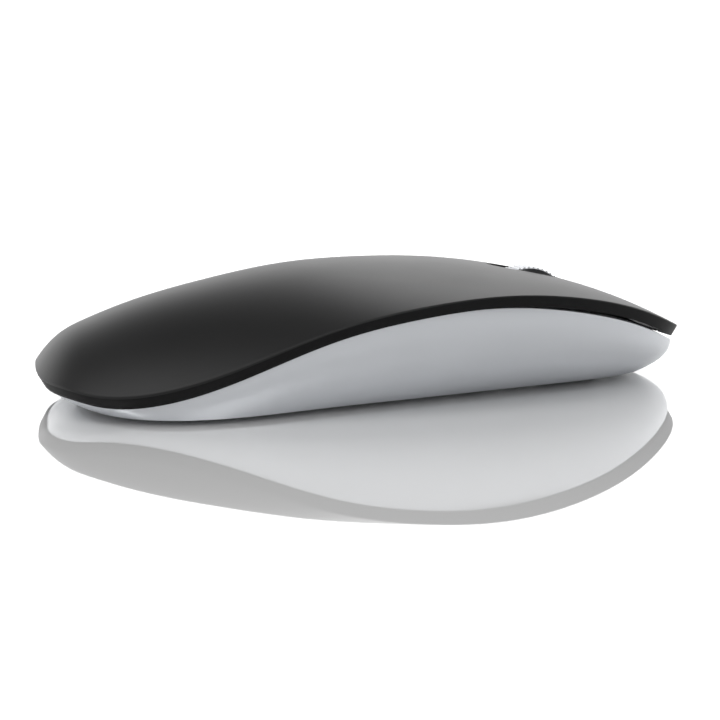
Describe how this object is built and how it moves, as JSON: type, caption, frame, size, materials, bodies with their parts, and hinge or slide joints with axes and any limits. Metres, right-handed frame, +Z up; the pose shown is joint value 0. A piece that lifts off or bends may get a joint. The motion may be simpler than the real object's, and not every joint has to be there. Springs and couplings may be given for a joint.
{
  "type": "computer mouse",
  "caption": "Slim cordless computer mouse: arched black cover with two clicking keys and a ribbed scroll wheel on a silver boat-shaped base.",
  "frame": {"origin": "on the desk, below the middle of the outline's bounding box", "axes": "+Z up, +Y to the front (the scroll wheel end), +X to the right hand side"},
  "size_m": [0.0584, 0.113, 0.0215],
  "materials": {
    "soft_black": "soft-touch matte",
    "black_plastic": "fine matte",
    "silver_shell": "satin silver paint",
    "foot_grey": "slippery low-friction film",
    "board_green": "solder mask",
    "chip_black": "moulded epoxy",
    "bright_metal": "bright plated",
    "ceramic_tan": "ceramic",
    "clear_lens": "clear moulded",
    "led_red": "tinted epoxy",
    "switch_white": "moulded",
    "spring_steel": "drawn wire",
    "wheel_black": "satin",
    "tread_silver": "fine ribs, satin",
    "cell_wrap": "foil wrap",
    "lead_rubber": "insulated wire",
    "screw_steel": "zinc plated"
  },
  "bodies": {
    "case": {"lower_case": "silver_shell", "top_frame": "black_plastic", "palm_cover": "soft_black", "front_foot": "foot_grey", "rear_foot": "foot_grey", "main_pcb": "board_green", "mcu_chip": "chip_black", "crystal": "bright_metal", "capacitors": "ceramic_tan", "sensor_lens": "clear_lens", "optical_sensor": "chip_black", "tracking_led": "led_red", "left_switch": "chip_black", "right_switch": "chip_black", "middle_switch": "chip_black", "wheel_springs": "spring_steel", "encoder_emitter": "clear_lens", "encoder_receiver": "chip_black", "battery_cell": "cell_wrap", "battery_plug": "switch_white", "battery_leads": "lead_rubber", "usb_c_socket": "bright_metal", "power_switch": "chip_black", "case_screws": "screw_steel", "board_screws": "screw_steel"},
    "left_key": {"left_button": "soft_black"},
    "right_key": {"right_button": "soft_black"},
    "left_contact": {"left_plunger": "switch_white"},
    "right_contact": {"right_plunger": "switch_white"},
    "middle_contact": {"middle_plunger": "switch_white"},
    "cradle": {"wheel_cradle": "black_plastic"},
    "wheel": {"wheel_core": "wheel_black", "wheel_tread": "tread_silver", "wheel_axle": "spring_steel", "encoder_disc": "black_plastic"},
    "power_knob": {"power_slider": "black_plastic"}
  },
  "joints": [
    {"name": "left_click", "type": "hinge", "parent": "case", "child": "left_key", "pos_m": [0, 0.006, 0.0197], "axis": [-1, 0, 0], "range_deg": [0, 1], "stiffness_Nm_per_rad": 1.2},
    {"name": "right_click", "type": "hinge", "parent": "case", "child": "right_key", "pos_m": [0, 0.006, 0.0197], "axis": [-1, 0, 0], "range_deg": [0, 1], "stiffness_Nm_per_rad": 1.2},
    {"name": "left_contact_slide", "type": "slide", "parent": "case", "child": "left_contact", "axis": [0, 0, -1], "range_m": [0, 0.00045]},
    {"name": "right_contact_slide", "type": "slide", "parent": "case", "child": "right_contact", "axis": [0, 0, -1], "range_m": [0, 0.00045]},
    {"name": "wheel_press", "type": "slide", "parent": "case", "child": "cradle", "axis": [0, 0, -1], "range_m": [0, 0.0005], "stiffness_N_per_m": 1200, "deforming": ["wheel_springs"]},
    {"name": "middle_contact_slide", "type": "slide", "parent": "case", "child": "middle_contact", "axis": [0, 0, -1], "range_m": [0, 0.00055]},
    {"name": "wheel_spin", "type": "hinge", "parent": "cradle", "child": "wheel", "pos_m": [0, 0.0285, 0.0115], "axis": [1, 0, 0], "continuous": true},
    {"name": "power_slide", "type": "slide", "parent": "case", "child": "power_knob", "axis": [0, 1, 0], "range_m": [0, 0.002]}
  ],
  "couplings": [
    {"joint": "left_contact_slide", "follows": "left_click", "m_per_rad": 0.0245},
    {"joint": "right_contact_slide", "follows": "right_click", "m_per_rad": 0.0245},
    {"joint": "middle_contact_slide", "follows": "wheel_press", "ratio": 1}
  ]
}
